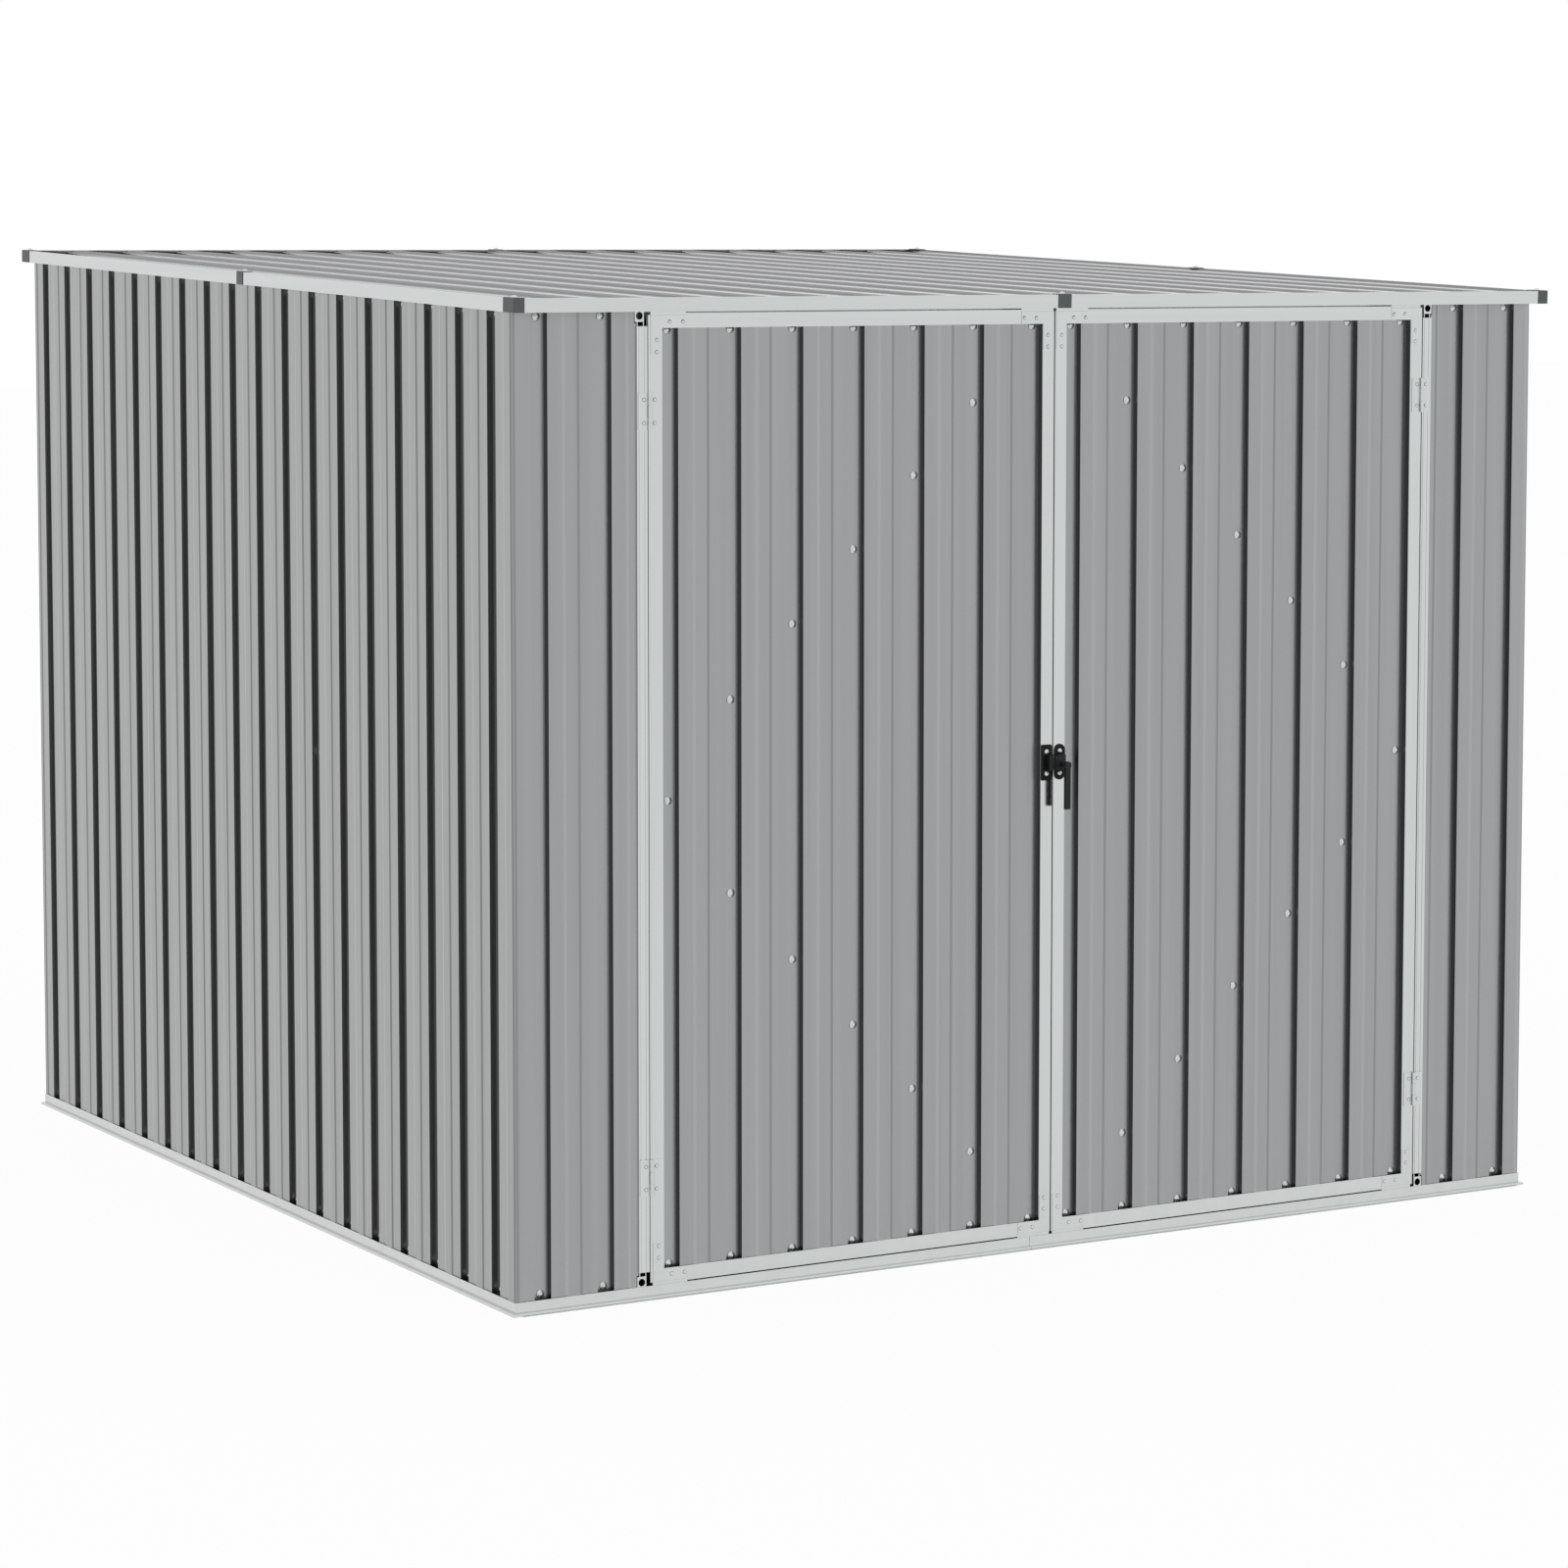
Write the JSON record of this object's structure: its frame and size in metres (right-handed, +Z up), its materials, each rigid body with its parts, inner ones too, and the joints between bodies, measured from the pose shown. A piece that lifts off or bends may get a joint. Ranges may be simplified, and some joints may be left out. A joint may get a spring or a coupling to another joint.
{
  "type": "metal storage shed",
  "caption": "Garden shed of ribbed painted steel with a roof that falls to the front and two hinged doors with a turning latch.",
  "frame": {"origin": "on the ground under the middle of the roof", "axes": "+X to the right along the front as seen from outside, +Y towards the back, +Z up; the doors face -Y"},
  "size_m": [1.932, 2.0037, 1.5883],
  "materials": {
    "grey_sheet_paint": "satin",
    "grey_roof_paint": "satin",
    "light_frame_paint": "satin",
    "zinc_steel": "satin zinc",
    "dark_cap_plastic": "matt",
    "black_latch": "satin"
  },
  "bodies": {
    "shell": {"base_rail_front": "light_frame_paint", "base_rail_left": "light_frame_paint", "base_rail_right": "light_frame_paint", "base_rail_back": "light_frame_paint", "roof_rail_front": "light_frame_paint", "roof_rail_left": "light_frame_paint", "roof_rail_right": "light_frame_paint", "roof_rail_back": "light_frame_paint", "wall_left": "grey_sheet_paint", "wall_right": "grey_sheet_paint", "wall_back": "grey_sheet_paint", "wall_rail_left": "zinc_steel", "wall_rail_right": "zinc_steel", "wall_rail_back": "zinc_steel", "corner_post_front_left": "zinc_steel", "corner_post_front_right": "zinc_steel", "corner_post_back_left": "zinc_steel", "corner_post_back_right": "zinc_steel", "roof_corner_caps": "dark_cap_plastic", "roof_joint_caps": "dark_cap_plastic", "roof_cap_screws": "zinc_steel", "roof_sheet_left": "grey_roof_paint", "roof_sheet_right": "grey_roof_paint", "roof_beam": "zinc_steel", "door_header": "zinc_steel", "front_strip_left": "grey_sheet_paint", "front_strip_right": "grey_sheet_paint", "door_post_left": "light_frame_paint", "door_post_right": "light_frame_paint", "post_brackets_left": "light_frame_paint", "post_brackets_right": "light_frame_paint", "post_hinges_left": "light_frame_paint", "post_hinges_right": "light_frame_paint"},
    "left_door": {"left_door_sheet": "grey_sheet_paint", "left_door_hinge_stile": "light_frame_paint", "left_door_meeting_stile": "light_frame_paint", "left_door_top_rail": "light_frame_paint", "left_door_bottom_rail": "light_frame_paint", "left_door_corner_plates": "light_frame_paint", "left_door_braces": "zinc_steel", "left_door_hinges": "light_frame_paint", "latch_keeper": "black_latch"},
    "right_door": {"right_door_sheet": "grey_sheet_paint", "right_door_hinge_stile": "light_frame_paint", "right_door_meeting_stile": "light_frame_paint", "right_door_top_rail": "light_frame_paint", "right_door_bottom_rail": "light_frame_paint", "right_door_corner_plates": "light_frame_paint", "right_door_braces": "zinc_steel", "right_door_hinges": "light_frame_paint", "latch_case": "black_latch"},
    "lever": {"latch_lever": "black_latch"}
  },
  "joints": [
    {"name": "left_door_hinge", "type": "hinge", "parent": "shell", "child": "left_door", "pos_m": [-0.725, -0.9757, 0.758], "axis": [0, 0, -1], "range_deg": [0, 110]},
    {"name": "right_door_hinge", "type": "hinge", "parent": "shell", "child": "right_door", "pos_m": [0.725, -0.9757, 0.758], "axis": [0, 0, 1], "range_deg": [0, 110]},
    {"name": "latch_turn", "type": "hinge", "parent": "right_door", "child": "lever", "pos_m": [0.0105, -0.99, 0.776], "axis": [0, -1, 0], "range_deg": [0, 90]}
  ]
}
